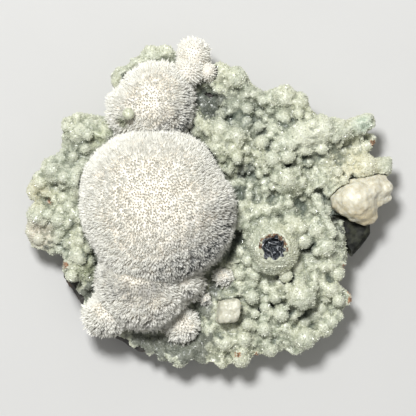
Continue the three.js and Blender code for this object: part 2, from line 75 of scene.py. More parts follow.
class Graph:
    def __init__(self, tree):
        self.tree = tree

    def add(self, kind, settings=None, values=None, output=0):
        node = self.tree.nodes.new(kind)
        for key, value in (settings or {}).items():
            setattr(node, key, value)
        for key, value in (values or {}).items():
            for one in value if isinstance(value, list) else [value]:
                if isinstance(one, Wire):
                    self.tree.links.new(one.socket, node.inputs[key])
                else:
                    node.inputs[key].default_value = one
        return Wire(self, node.outputs[output]) if len(node.outputs) else node

    def also(self, wire, output):  # another output of the node that a wire comes from
        return Wire(self, wire.socket.node.outputs[output])

    def mix(self, factor, first, second):
        return self.add("ShaderNodeMix", {"data_type": "RGBA"}, {0: factor, 6: first, 7: second}, 2)

    def step(self, value, low, high):  # 0 below low, 1 above high, smooth between
        return self.add("ShaderNodeMapRange", {"interpolation_type": "SMOOTHSTEP"}, {
            0: value, 1: low, 2: high,
        })

    def noise(self, place, size, detail=3.0, roughness=0.55):
        return self.add("ShaderNodeTexNoise", {}, {
            "Vector": place, "Scale": 1 / (size * mm), "Detail": detail, "Roughness": roughness,
        })

    def near(self, place, centre, reach):  # 1 close to a place on the specimen, 0 out of its reach
        spot = tuple(c * mm for c in centre)
        away = self.add("ShaderNodeVectorMath", {"operation": "DISTANCE"}, {0: place, 1: spot}, 1)
        return 1 - self.step(away, 0.25 * reach * mm, reach * mm)

    def patches(self, place, spots, widen=1.0):  # what lies near any of these spots, seen from above
        total = 0.0
        for x, y, reach in spots:
            total = self.near(place, (x, y, 0), reach * widen) + total
        return total

    def flat(self, place, wobble, size):  # seen from above, and made ragged
        wander = self.add("ShaderNodeTexNoise", {}, {
            "Vector": place, "Scale": 1 / (size * mm), "Detail": 2.0,
        }, 1)
        shift = self.add("ShaderNodeVectorMath", {"operation": "MULTIPLY_ADD"}, {
            0: wander, 1: (2 * wobble * mm,) * 3, 2: (-wobble * mm,) * 3,
        })
        moved = self.add("ShaderNodeVectorMath", {"operation": "ADD"}, {0: place, 1: shift})
        return self.add("ShaderNodeVectorMath", {"operation": "MULTIPLY"}, {0: moved, 1: (1, 1, 0)})

    def attribute(self, name):
        return self.add("ShaderNodeAttribute", {"attribute_name": name}, None, 2)


def newMaterial(name, paint, **shaderValues):
    material = bpy.data.materials.new(name)
    material.use_nodes = True
    graph = Graph(material.node_tree)
    shader = material.node_tree.nodes["Principled BSDF"]
    for key, value in shaderValues.items():
        shader.inputs[key.replace("_", " ")].default_value = value
    place = graph.add("ShaderNodeTexCoord", None, None, 3)
    for key, wire in paint(graph, place).items():
        graph.tree.links.new(wire.socket, shader.inputs[key])
    return material


def bump(graph, height, distance, strength):
    return graph.add("ShaderNodeBump", {}, {
        "Height": height, "Distance": distance * mm, "Strength": strength,
    })


# Pieces
def newPiece(name, shape):
    mesh = bpy.data.meshes.new(name)
    shape.to_mesh(mesh)
    shape.free()
    piece = bpy.data.objects.new(name, mesh)
    bpy.context.scene.collection.objects.link(piece)
    return piece


def cadShape(node):
    shape = bmesh.new()
    shape.from_mesh(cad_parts[node].data)
    bmesh.ops.remove_doubles(shape, verts=shape.verts, dist=0.01 * mm)
    return shape


def settle(piece):  # puts the modifiers' result in the mesh
    depsgraph = bpy.context.evaluated_depsgraph_get()
    mesh = bpy.data.meshes.new_from_object(piece.evaluated_get(depsgraph), depsgraph=depsgraph)
    mesh.name = piece.name
    piece.modifiers.clear()
    piece.data = mesh


def remesh(piece, size):
    modifier = piece.modifiers.new("remesh", "REMESH")
    modifier.mode = "VOXEL"
    modifier.voxel_size = size * mm
    settle(piece)


def points(piece, key="co"):
    values = np.zeros(len(piece.data.vertices) * 3, np.float32)
    if key == "co":
        piece.data.vertices.foreach_get("co", values)
    else:
        piece.data.vertex_normals.foreach_get("vector", values)
    return values.reshape(-1, 3)


def movePoints(piece, places):
    piece.data.vertices.foreach_set("co", places.astype(np.float32).ravel())
    piece.data.update()


def evened(piece, values, rounds):  # each point's value drawn towards its neighbours'
    edges = np.zeros(len(piece.data.edges) * 2, np.int32)
    piece.data.edges.foreach_get("vertices", edges)
    a, b = edges.reshape(-1, 2).T
    count = np.bincount(edges, minlength=len(values)).clip(1)[:, None]
    for _ in range(rounds):
        total = np.stack([
            np.bincount(a, values[b, k], len(values)) + np.bincount(b, values[a, k], len(values))
            for k in range(values.shape[1])
        ], 1)
        values = 0.5 * values + 0.5 * total / count
    return values


def hollowness(piece, rounds, reach):  # 1 in a hollow, 0 on a hump, 0.5 on the level
    places = points(piece).astype(float)
    sunk = ((evened(piece, places, rounds) - places) * points(piece, "normal")).sum(1)
    return np.clip(0.5 + 0.5 * sunk / (reach * mm), 0, 1)


def store(piece, name, values):
    flat = values.ndim == 1
    layer = piece.data.attributes.new(name, "FLOAT" if flat else "FLOAT_VECTOR", "POINT")
    layer.data.foreach_set("value" if flat else "vector", values.astype(np.float32).ravel())


layered = {"fade": 0.9, "step": 2.1, "layers": 3}  # the noise of every roughened surface


def roughen(piece, size, depth, seed, amount=1.0):  # pushes the surface in and out by noise
    places = points(piece)
    start = Vector((seed, 0, 0))
    push = np.array([
        noise.fractal(Vector(p) / (size * mm) + start, layered["fade"], layered["step"], layered["layers"])
        for p in places
    ])
    movePoints(piece, places + points(piece, "normal") * (push * amount * depth * mm)[:, None])


def soften(piece, rounds):
    movePoints(piece, evened(piece, points(piece).astype(float), rounds))


def swell(piece, amount):  # moves the surface out, or in where the amount is below 0
    movePoints(piece, points(piece) + points(piece, "normal") * amount * mm)


def storeCrease(piece, about):
    store(piece, "crease", hollowness(piece, about["creaseRounds"], about["creaseReach"]))


def smoothShade(piece, smooth=True):
    piece.data.polygons.foreach_set("use_smooth", [smooth] * len(piece.data.polygons))
    piece.data.update()


def finish(piece, material, slot, *nodes):
    piece.data.materials.clear()
    piece.data.materials.append(material)
    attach(piece, "root")
    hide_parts(*nodes)
    print(piece.name, len(piece.data.polygons), "faces")


def lighten(piece, most):  # thins the mesh to this many triangles
    triangles = sum(len(face.vertices) - 2 for face in piece.data.polygons)
    if triangles > most:
        piece.modifiers.new("lighten", "DECIMATE").ratio = most / triangles
        settle(piece)


def dropSpecks(piece):  # keeps the one large shell, without specks that float free of it
    shape = bmesh.new()
    shape.from_mesh(piece.data)
    unseen = set(shape.verts)
    shells = []
    while unseen:
        shell = [unseen.pop()]
        for corner in shell:
            for edge in corner.link_edges:
                other = edge.other_vert(corner)
                if other in unseen:
                    unseen.remove(other)
                    shell.append(other)
        shells.append(shell)
    shells.sort(key=len)
    specks = [corner for shell in shells[:-1] for corner in shell]
    bmesh.ops.delete(shape, geom=specks, context="VERTS")
    shape.to_mesh(piece.data)
    shape.free()


crowding = 2.4  # dots tried for each that the spacing lets stand


def scatter(piece, template, spacing, least, most, sink=0.0, lean=0.0, seed=1, keep=False, where="",
            sheaves=False):
    tree = bpy.data.node_groups.new("scatter", "GeometryNodeTree")
    for way in ("INPUT", "OUTPUT"):
        tree.interface.new_socket("Geometry", in_out=way, socket_type="NodeSocketGeometry")
    graph = Graph(tree)
    base = graph.add("NodeGroupInput")

    def stored(name, kind="FLOAT"):
        return graph.add("GeometryNodeInputNamedAttribute", {"data_type": kind}, {"Name": name})

    factor = stored(where) if where else 1.0
    dots = graph.add("GeometryNodeDistributePointsOnFaces", {"distribute_method": "POISSON"}, {
        "Mesh": base, "Distance Min": spacing * mm, "Density Max": crowding / (spacing * mm) ** 2,
        "Density Factor": factor, "Seed": seed,
    })
    size = graph.add("FunctionNodeRandomValue", {"data_type": "FLOAT"},
                     {2: least, 3: most, "Seed": seed + 1}, 1)
    turn = graph.add("FunctionNodeRandomValue", {"data_type": "FLOAT_VECTOR"}, {
        0: (-lean, -lean, 0.0), 1: (lean, lean, math.tau), "Seed": seed + 2,
    })
    upright = graph.also(dots, "Rotation")
    if sheaves:  # tufts lean and shorten as the sheaves around them ask
        size = size * stored("length")
        way = graph.add("ShaderNodeVectorMath", {"operation": "ADD"},
                        {0: graph.also(dots, "Normal"), 1: stored("flow", "FLOAT_VECTOR")})
        upright = graph.add("FunctionNodeAlignRotationToVector", {"axis": "Z"},
                            {"Rotation": upright, "Vector": way})
    aimed = graph.add("FunctionNodeRotateRotation", {"rotation_space": "LOCAL"},
                      {"Rotation": upright, "Rotate By": turn})
    sunk = graph.add("ShaderNodeVectorMath", {"operation": "SCALE"},
                     {0: graph.also(dots, "Normal"), "Scale": size * (-sink * mm)})
    placed = graph.add("GeometryNodeSetPosition", {}, {"Geometry": dots, "Offset": sunk})
    source = graph.add("GeometryNodeObjectInfo", {}, {"Object": template}, "Geometry")
    many = graph.add("GeometryNodeInstanceOnPoints", {},
                     {"Points": placed, "Instance": source, "Rotation": aimed, "Scale": size})
    real = graph.add("GeometryNodeRealizeInstances", {}, {"Geometry": many})
    if keep:
        real = graph.add("GeometryNodeJoinGeometry", {}, {"Geometry": [real, base]})
    graph.add("NodeGroupOutput", {}, {0: real})
    piece.modifiers.new("scatter", "NODES").node_group = tree
    settle(piece)
    bpy.data.node_groups.remove(tree)


def copyOf(name, piece):
    made = bpy.data.objects.new(name, piece.data.copy())
    bpy.context.scene.collection.objects.link(made)
    return made


def discard(piece):
    bpy.data.objects.remove(piece, do_unlink=True)


# Templates that are repeated many times
def beadTemplate():
    shape = bmesh.new()
    bmesh.ops.create_icosphere(shape, subdivisions=2, radius=mm)
    return newPiece("beadTemplate", shape)


def grainTemplate(grain):  # the corner of a rhombohedral crystal: three faces and a foot
    shape = bmesh.new()
    made = bmesh.ops.create_cone(shape, cap_ends=True, segments=3, radius1=mm, radius2=0,
                                 depth=grain["height"] * mm)["verts"]
    bmesh.ops.translate(shape, verts=made, vec=(0, 0, grain["rise"] * mm))
    return newPiece("grainTemplate", shape)


def tuftTemplate(tuft, thickness):
    dice = random.Random(tuft["seed"])
    shape = bmesh.new()
    for i in range(tuft["needles"]):
        length = dice.uniform(tuft["shortest"], 1.0) if i else 1.0
        made = bmesh.ops.create_cone(
            shape, cap_ends=True, segments=3, radius1=thickness * mm, radius2=0, depth=length * mm,
        )["verts"]
        bmesh.ops.translate(shape, verts=made, vec=(0, 0, length * mm / 2))
        angle = i * math.tau / (tuft["needles"] - 1) + dice.uniform(-tuft["stray"], tuft["stray"])
        lean = Euler((0, dice.uniform(*tuft["splay"]) if i else 0, angle)).to_matrix()
        bmesh.ops.rotate(shape, verts=made, matrix=lean)
        foot = Matrix.Rotation(angle, 3, "Z") @ Vector((tuft["foot"] * thickness * mm if i else 0, 0, 0))
        bmesh.ops.translate(shape, verts=made, vec=foot)
    piece = newPiece("tuftTemplate", shape)
    store(piece, "tip", np.clip(points(piece)[:, 2] / mm, 0, 1))
    return piece


# Calcite crust
crust = {  # millimetres, like all sizes here
    "evenSize": 0.6, "shrink": 0.7, "leastCover": 1.0,
    "reliefRounds": (30, 220), "relief": (0.3, 0.35),  # small and broad humps, and how much they grow
    "fill": (0.25, 0.4), "fillFrom": -22, "fillLeft": 0.2,  # creases close, and less so left of fillFrom
    "hollowDepth": 1.1, "fieldDepth": 0.85,
    "lipCount": 30, "lipRadius": 4.75, "lipWander": (-0.25, 0.3), "lipLeast": 0.5, "lipMost": 0.8,
    "beadSpacing": 3.3, "beadLeast": 1.0, "beadMost": 2.1, "beadSink": 0.25,
    "granuleSpacing": 1.35, "granuleLeast": 0.38, "granuleMost": 0.7, "granuleSink": 0.45,
    "placedSink": -0.05, "fillingSink": 0.75, "ringRadius": 1.6, "above": 80,
    "skinSize": 0.4, "mostTriangles": 196000, "grainSize": 0.8, "grainDepth": 0.13,
    "hiddenWithin": 0.9, "hiddenFrom": 0.05, "seatWithin": 1.3, "edgeRounds": 2,
    "lowRounds": 30, "lowReach": 1.0, "lowFrom": 0.47,  # where beads grow: not on top of a hump
    "creaseRounds": 8, "creaseReach": 0.22,
    "skyReach": 9, "skyRays": 12, "skyTurn": 2.4, "skyLift": 0.3, "skyRounds": 3, "skySeed": 3,
    "seed": 5,
}
grain = {
    "spacing": 0.6, "least": 0.3, "most": 0.58, "height": 1.5, "rise": 0.25, "lean": 0.75, "sink": 0.08,
    "facing": -0.4, "seed": 11,
}
greenBead = {"skinSize": 0.25, "grainSize": 0.9, "grainDepth": 0.18, "seed": 3}

stone = {  # the crust's colours; crease, shut, deepest, hollow and shaded are painted shade
    "sage": (0.42, 0.45, 0.34, 1), "warmSage": (0.53, 0.54, 0.39, 1), "pale": (0.63, 0.64, 0.50, 1),
    "darkSpeck": (0.29, 0.32, 0.25, 1), "brightSpeck": (0.88, 0.89, 0.78, 1), "hump": (0.70, 0.72, 0.60, 1),
    "crease": (0.17, 0.19, 0.14, 1), "shut": (0.17, 0.19, 0.145, 1), "deepest": (0.055, 0.07, 0.06, 1),
    "hollow": (0.12, 0.145, 0.12, 1), "shaded": (0.115, 0.125, 0.105, 1), "clear": (0.76, 0.79, 0.70, 1),
    "darkRust": (0.12, 0.05, 0.02, 1), "rust": (0.52, 0.31, 0.18, 1),
}
stoneTints = {  # where the photograph shows another tint on the crust: place, reach and colour; the ridge's paler colour is painted light, and the darker left and top places are painted shade, the left one also greyer
    "pinkKnob": ((-56, -9.5, 15), 8, (0.66, 0.58, 0.48, 1)),
    "creamKnob": ((-57, 3, 16), 7, (0.60, 0.56, 0.38, 1)),
    "paleYellow": ((45.5, 11, 18), 12, (0.72, 0.67, 0.47, 1)),
    "blueTip": ((49, 25.5, 20), 6, (0.44, 0.56, 0.47, 1)),
    # painted light: the ridge paler where the lamp falls on it
    "paintedLightRidge": ((32, 20, 24), 11, (0.78, 0.79, 0.64, 1)),
    "oliveSlope": ((0, 14, 18), 9, (0.32, 0.34, 0.19, 1)),
    "oliveFoot": ((-38, -20, 17), 8, (0.46, 0.50, 0.28, 1)),
    "oliveNeck": ((-34, 20, 20), 7, (0.42, 0.46, 0.26, 1)),
    # painted shade, with a greyer tint: the left slopes darker where they face the lamp
    "greyAndShadedLeft": ((-45, 14, 15), 13, (0.34, 0.37, 0.30, 1)),
    # painted shade: the hollow beside the upper ball darker
    "paintedShadeTop": ((8, 28, 16), 13, (0.24, 0.27, 0.22, 1)),
}
darkHollows = [  # x, y and reach of the dark hollows between the lumps, sunk and painted dark: painted shade, with some darker tint of their own
    (0.8, 33.1, 3.6), (-1.4, 29.3, 3.4), (6, 27.6, 3.6), (11.2, 26.4, 2.4), (11.4, 11.4, 4.6),
    (12.6, 8.4, 3), (8.6, 3, 4.2), (14.5, 1.8, 2.8), (19, 1.4, 2.4), (28, -0.6, 3.2), (37.8, -2.6, 4),
    (39.5, 17.4, 3), (34, 15.2, 2.6), (29.6, 13, 2.2), (6.2, -11, 3.6), (5, -16.4, 3.8), (11.4, -15.6, 2),
    (30.6, -13.4, 3.2), (31.2, -36.6, 4), (27, -35, 2.6), (2.4, -28, 3), (14.8, 36.4, 2), (24, 24.8, 1.8),
    (17, 18, 1.8), (-3.6, 33.6, 3), (40.4, 13.4, 3.2), (34.2, 2, 2.6), (7.2, -27, 3), (3.8, -28.8, 2.4),
    (-42, 20.4, 3), (-36, 14, 2.6), (-50.5, 5, 2.4), (-45, -6, 2.6), (-41.5, -17.6, 3), (-48, -15.6, 3),
    (-31, 41.5, 2.4), (20.4, -31, 2), (38, -24, 2.4), (8.4, -33, 2.4), (19.6, -44, 2), (1.6, -41.6, 2.6),
]
shadedPlaces = [  # x, y and reach of the crust in the shade of the balls and of its own lumps
    (-24.5, -43, 3.4), (-20, -44.4, 4), (-15.5, -45.6, 4.2), (-11, -46.6, 4.2), (-6.5, -46.6, 4),
    (-3, -44.6, 3.4), (-2.4, -34.4, 3.2), (-4.4, -31.4, 2.6), (0.4, -29.6, 2.8), (-0.4, 31.6, 3.4),
    (-2.8, 34.2, 2.6), (3.4, 33.4, 2.4), (-1.6, 28.4, 2.4), (12, 11.4, 2.2), (9.4, 9.6, 2),
    (-12.3, -48.6, 2.6), (-16.6, -47.4, 2.8), (-20.4, -46.6, 2.4), (-7.6, -48, 2.6), (-3.8, -50, 2),
    (-40.4, -29.4, 2.8), (-38.6, -26.4, 2.4), (41.1, -9.4, 1.6), (33.8, 2.1, 1.6), (-53, -14, 1.8),
    (0.8, -27.4, 1.8),
]
beadFields = [(15.5, 25.5, 9), (16, 6, 5), (17, -33, 9), (10.5, -19, 4.5), (29, 11, 6)]  # x, y and reach
stubMiddle = (19.3, -14.2)
placedBeads = [  # x, y and radius of the beads that stand out of the crust
    (11.1, 30.3, 2.0), (16.1, 33, 1.7), (18.7, 30.1, 1.7), (15.1, 28.9, 1.4), (10.9, 26, 2.0),
    (14.8, 24.6, 1.8), (17.1, 27, 1.2), (19.5, 23.6, 2.3), (19.1, 26, 1.4), (23.4, 26.9, 1.7),
    (21.5, 27.7, 1.4), (15.8, 19.5, 2.4), (20.3, 18.1, 1.7), (27.5, 28.7, 1.7), (14.2, 15.8, 1.2),
    (19.1, 14.2, 2.6), (20.7, 11.9, 1.4), (17.1, 10.7, 1.4), (30.7, 13.4, 1.7), (27.3, 14, 1.5),
    (14.4, 12.5, 1.2), (32, 25.4, 1.5), (18.3, 33.4, 1.7), (13.2, 35, 1.4), (7.8, 14.2, 1.7),
    (15, 9.5, 1.5), (16.6, 4.6, 1.2), (19.3, 5.6, 1.4), (30.9, 4, 1.4), (28.6, 6.9, 1.4),
    (24.4, -0.1, 1.5), (40.1, 10.1, 1.7), (42.1, 7.3, 1.5), (11.9, 5.6, 1.4), (8.8, -15.3, 2.0),
    (11.2, -18.1, 2.0), (13.5, -23.1, 1.8), (8.6, -22.5, 2.0), (12.6, -30, 2.3), (20.1, -30, 2.1),
    (13.5, -35.3, 1.5), (16.9, -33.4, 1.8), (22, -35.4, 2.6), (16.6, -40.3, 2.3), (27.8, -34.2, 1.6),
    (34.9, -33.7, 1.8), (38.3, -38, 2), (11.2, -38.8, 2), (33.2, -15.4, 1.4), (40.4, -31.1, 2),
    (17.4, -27.4, 1.6), (41.8, 5.6, 1.7), (44.6, 7, 1.8), (47.6, 7.8, 1.7), (50.4, 8, 1.4),
    (-43.4, 27.7, 1.3), (-46.9, 24.5, 1.6), (-40, 21.9, 1.9), (-44.6, 15, 1.6), (-51.4, 10.7, 2.2),
    (-47.6, 8.3, 1.9), (-55.2, 6.6, 1.9), (-45.9, -1.1, 1.9), (-49.4, -5.3, 2.2), (-43.4, -16.4, 2.5),
    (-45.1, -23.2, 1.9), (-56.2, -4.5, 1.8), (-55.7, -11.3, 1.8), (-49.8, -11.3, 1.6),
    (-42.5, -12.1, 1.6),
]
fillingLumps = [  # x, y and radius of the low lumps that close the deepest gaps
    (-38.4, -17, 2.6), (26.7, -20.2, 2.8), (23.8, 15.4, 2.8), (32.6, -35.6, 3), (29.2, -11.8, 2.8),
    (10.1, 14.4, 2.2), (39.8, -22.4, 2.6), (23.4, -23, 2.2), (6.6, -39.8, 2.4), (9.3, -37.2, 2.2),
    (10.2, -33.8, 2), (10.4, -31, 2.2), (3, -40.4, 2.1), (0.8, -33, 1.6), (0.6, -36, 1.6),
    (1.6, -38.6, 1.6), (37.2, 0.6, 1.9), (39.2, 3.2, 2.1), (36.4, -2.2, 1.7), (6.8, 6.6, 2), (12.4, 7, 2),
    (29, -38.4, 2.6), (36.4, -36, 2.6), (23, 33, 2), (1.8, 36.4, 1.6), (-27, -41.6, 2), (-41, -14.4, 2.3),
    (-40, -18.4, 2.2), (-42.4, -17.6, 2.2), (5, -39.2, 2), (7.8, -38.4, 2), (7.8, -3.4, 2),
    (18.4, -34.8, 1.8),
]
rustPlaces = [  # x, y and reach of the rusty spots near the edge
    (51.6, 19.8, 2), (44.8, -31, 2.6), (44, -28, 1.8), (8.2, -48.5, 1.7), (14, -48.5, 1.3),
    (-47, -19.6, 1.8), (42.4, -20, 1.6), (-52.4, 0.6, 1.4), (43.2, -34.6, 1.8),
]


def crustPaint(graph, place):
    broad = graph.noise(place, 14, 2)
    middle = graph.noise(place, 2.6, 3)
    fine = graph.noise(place, 0.5, 2)
    speck = graph.noise(place, 0.75, 2, 0.7)
    crease = graph.attribute("crease")
    sky = graph.attribute("sky")
    colour = graph.mix(graph.step(broad, 0.38, 0.62), stone["sage"], stone["warmSage"])
    colour = graph.mix(graph.step(middle, 0.42, 0.70), colour, stone["pale"])
    colour = graph.mix(graph.step(speck, 0.56, 0.35) * 0.4, colour, stone["darkSpeck"])
    colour = graph.mix(graph.step(speck, 0.54, 0.68) * 0.6, colour, stone["brightSpeck"])
    for centre, reach, tint in stoneTints.values():
        colour = graph.mix(graph.near(place, centre, reach) * 0.6, colour, tint)
    # painted shade: darker in the creases
    colour = graph.mix(graph.step(crease, 0.55, 0.95) * 0.6, colour, stone["crease"])
    # painted shade: darker where little of the sky over a point is open, darkest where it is nearly shut
    colour = graph.mix(graph.step(sky, 0.66, 0.25) * 0.6, colour, stone["shut"])
    colour = graph.mix(graph.step(sky, 0.36, 0.10) * 0.7, colour, stone["deepest"])
    colour = graph.mix(graph.step(crease, 0.46, 0.15) * 0.4, colour, stone["hump"])
    ragged = graph.flat(place, 5, 3)
    # painted shade in the hollows, stronger where little sky is open, with some darker tint of their own
    hollow = graph.step(graph.patches(ragged, darkHollows, 1.15), 0.1, 0.9)
    shut = 1 - graph.step(sky, 0.4, 0.9) * 0.8
    colour = graph.mix(hollow * shut * 0.75, colour, stone["hollow"])
    shaded = graph.step(graph.patches(ragged, shadedPlaces, 1.3), 0.1, 0.9)
    colour = graph.mix(shaded * 0.8, colour, stone["shaded"])
    rust = graph.patches(graph.flat(place, 1.6, 0.9), rustPlaces)
    rusty = graph.mix(graph.step(fine, 0.35, 0.65), stone["darkRust"], stone["rust"])
    colour = graph.mix(graph.step(rust * (0.5 + fine), 0.5, 0.9), colour, rusty)
    return {
        "Base Color": colour,
        "Roughness": graph.step(fine, 0.3, 0.7) * 0.3 + 0.25,
        "Normal": bump(graph, graph.noise(place, 0.3, 2), 0.12, 0.5),
    }


def drusePaint(graph, place):  # the crust's colours, clearer and glossier; the paler clear grains show only where the sky is open, partly their own tint and partly painted light
    sockets = crustPaint(graph, place)
    fine = graph.noise(place, 0.8, 1)
    # partly painted light: paler grains only where the sky is open
    clear = graph.step(fine, 0.5, 0.75) * 0.45 * graph.attribute("sky")
    sockets["Base Color"] = graph.mix(clear, sockets["Base Color"], stone["clear"])
    sockets["Roughness"] = graph.step(fine, 0.3, 0.7) * 0.2 + 0.12
    return sockets


def treeOf(nodes, piece=None):  # finds what lies near a point
    shape = bmesh.new()
    if piece is not None:
        shape.from_mesh(piece.data)
    for node in nodes:
        shape.from_mesh(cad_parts[node].data)
    tree = BVHTree.FromBMesh(shape)
    shape.free()
    return tree


def closeness(piece, nodes, within):  # 1 where one of these nodes lies close over the surface
    tree = treeOf(nodes)
    values = np.zeros(len(piece.data.vertices))
    for i, (place, normal) in enumerate(zip(points(piece), points(piece, "normal"))):
        away = Vector(normal)
        if tree.ray_cast(Vector(place) - away * 0.2 * mm, away, within * mm)[0]:
            values[i] = 1.0
    return values


def cover(piece, *nodes):  # how far each point is from these nodes, in millimetres
    tree = treeOf(nodes)
    return np.array([tree.find_nearest(Vector(place))[3] / mm for place in points(piece)])


def skyShare(piece, nodes):  # how much of the room over each point is open
    tree = treeOf(nodes, piece)
    rays = crust["skyRays"]
    dice = random.Random(crust["skySeed"])
    ways = []
    for i in range(rays):
        angle, rise = i * crust["skyTurn"], math.sqrt((i + 0.5) / rays)
        ways.append(Vector((rise * math.cos(angle), rise * math.sin(angle), math.sqrt(1 - rise * rise))))
    values = np.zeros(len(piece.data.vertices))
    for i, (place, normal) in enumerate(zip(points(piece), points(piece, "normal"))):
        away = Vector(normal)
        turn = Vector((0, 0, 1)).rotation_difference(away) @ Matrix.Rotation(
            dice.uniform(0, math.tau), 3, "Z").to_quaternion()
        start = Vector(place) + away * crust["skyLift"] * mm
        clear = [tree.ray_cast(start, turn @ way, crust["skyReach"] * mm)[0] is None for way in ways]
        values[i] = sum(clear) / rays
    return evened(piece, values[:, None], crust["skyRounds"])[:, 0]


def addBeads(piece, spots, sink):  # each bead lies on the surface, or level with the surface around it
    shape = bmesh.new()
    shape.from_mesh(piece.data)
    tree = BVHTree.FromBMesh(shape)
    beads = bmesh.new()
    down = Vector((0, 0, -1))
    for x, y, radius in spots:
        ring = [(x, y)]
        out = crust["ringRadius"] * radius
        for turn in range(6):  # radians
            ring.append((x + out * math.cos(turn), y + out * math.sin(turn)))
        hits = [tree.ray_cast(Vector((a, b, crust["above"])) * mm, down)[0] for a, b in ring]
        heights = sorted(hit.z for hit in hits if hit)
        level = heights[len(heights) // 2]
        if hits[0]:
            level = max(level, hits[0].z)
        middle = Vector((x * mm, y * mm, level - sink * radius * mm))
        bmesh.ops.create_icosphere(beads, subdivisions=3, radius=radius * mm,
                                   matrix=Matrix.Translation(middle))
    added = newPiece("beads", beads)
    shape.from_mesh(added.data)
    discard(added)
    shape.to_mesh(piece.data)
    shape.free()


# stores the crease and sky maps that the painted shade of the crust reads
def storeShadeMaps(piece, nodes):
    storeCrease(piece, crust)
    store(piece, "sky", skyShare(piece, nodes))


def flatDistance(places, x, y):  # in millimetres, seen from above
    return np.hypot(places[:, 0] / mm - x, places[:, 1] / mm - y)


crustMaterial = newMaterial("sageCrust", crustPaint, IOR=1.6, Subsurface_Weight=0.35,
                            Subsurface_Radius=(1, 1, 0.8), Subsurface_Scale=1.5 * mm)
druseMaterial = newMaterial("sageDruse", drusePaint, IOR=1.6)
otherNodes = [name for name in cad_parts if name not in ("calcite_crust", "stalactite_core")]
bead = beadTemplate()
grainShape = grainTemplate(grain)

crustPiece = newPiece("calcite_crust_skin", cadShape("calcite_crust"))
remesh(crustPiece, crust["evenSize"])
hidden = closeness(crustPiece, otherNodes, crust["hiddenWithin"])
hidden = evened(crustPiece, hidden[:, None], crust["edgeRounds"])
covered = hidden[:, 0] > crust["hiddenFrom"]
store(crustPiece, "open", np.where(covered, 0.0, 1.0))
places = points(crustPiece).astype(float)
normals = points(crustPiece, "normal")
seats = cover(crustPiece, "stalactite_core", *otherNodes) < crust["seatWithin"]
beside = evened(crustPiece, seats.astype(float)[:, None], crust["edgeRounds"])
deep = np.zeros(len(places))
for x, y, reach in darkHollows:
    deep = np.maximum(deep, 1 - flatDistance(places, x, y) / reach)
for x, y, reach in beadFields:
    share = np.clip(2 - 2 * flatDistance(places, x, y) / reach, 0, 1)
    deep = np.maximum(deep, crust["fieldDepth"] * share)
deep *= normals[:, 2] > 0
push = -(crust["shrink"] + crust["hollowDepth"] * deep) * mm
for rounds, share, fill in zip(crust["reliefRounds"], crust["relief"], crust["fill"]):
    proud = ((places - evened(crustPiece, places, rounds)) * normals).sum(1)
    filled = fill * np.where(places[:, 0] > crust["fillFrom"] * mm, 1, crust["fillLeft"])
    push += proud * np.where(proud > 0, share, deep * (share + filled) - filled)
moved = normals * push[:, None] * (1 - hidden) * (1 - beside)
sunk = np.maximum(-(moved * normals).sum(1) / mm, 0.01)
thick = np.maximum(cover(crustPiece, "basalt_base") - crust["leastCover"], 0)
moved *= np.minimum(thick / sunk, 1)[:, None]  # the rock stays covered
movePoints(crustPiece, places + moved)
dice = random.Random(crust["seed"])
lip = []  # the ring of small beads round the stub's hole
for i in range(crust["lipCount"]):
    angle, out = i * math.tau / crust["lipCount"], crust["lipRadius"] + dice.uniform(*crust["lipWander"])
    lip.append((stubMiddle[0] + out * math.cos(angle), stubMiddle[1] + out * math.sin(angle),
                dice.uniform(crust["lipLeast"], crust["lipMost"])))
low = hollowness(crustPiece, crust["lowRounds"], crust["lowReach"]) > crust["lowFrom"]
store(crustPiece, "low", np.where(covered, 0.0, low))
for size, where in (("bead", "low"), ("granule", "open")):
    scatter(crustPiece, bead, crust[size + "Spacing"], crust[size + "Least"], crust[size + "Most"],
            crust[size + "Sink"], seed=crust["seed"], keep=True, where=where)
addBeads(crustPiece, placedBeads + lip, crust["placedSink"])
addBeads(crustPiece, fillingLumps, crust["fillingSink"])
remesh(crustPiece, crust["skinSize"])
roughen(crustPiece, crust["grainSize"], crust["grainDepth"], crust["seed"])
lighten(crustPiece, crust["mostTriangles"])
dropSpecks(crustPiece)
storeShadeMaps(crustPiece, otherNodes)
smoothShade(crustPiece)

drusePiece = copyOf("calcite_druse", crustPiece)
hidden = closeness(drusePiece, otherNodes, crust["hiddenWithin"]) > 0
hidden |= points(drusePiece, "normal")[:, 2] <= grain["facing"]
store(drusePiece, "open", np.where(hidden, 0.0, 1.0))
scatter(drusePiece, grainShape, grain["spacing"], grain["least"], grain["most"], grain["sink"],
        grain["lean"], grain["seed"], where="open")
smoothShade(drusePiece, False)
finish(crustPiece, crustMaterial, "green_calcite", "calcite_crust")
finish(drusePiece, druseMaterial, "green_calcite", "calcite_crust")

beadPiece = newPiece("green_bead", cadShape("calcite_bead"))
remesh(beadPiece, greenBead["skinSize"])
roughen(beadPiece, greenBead["grainSize"], greenBead["grainDepth"], greenBead["seed"])
storeShadeMaps(beadPiece, [])
smoothShade(beadPiece)
finish(beadPiece, crustMaterial, "green_calcite", "calcite_bead")


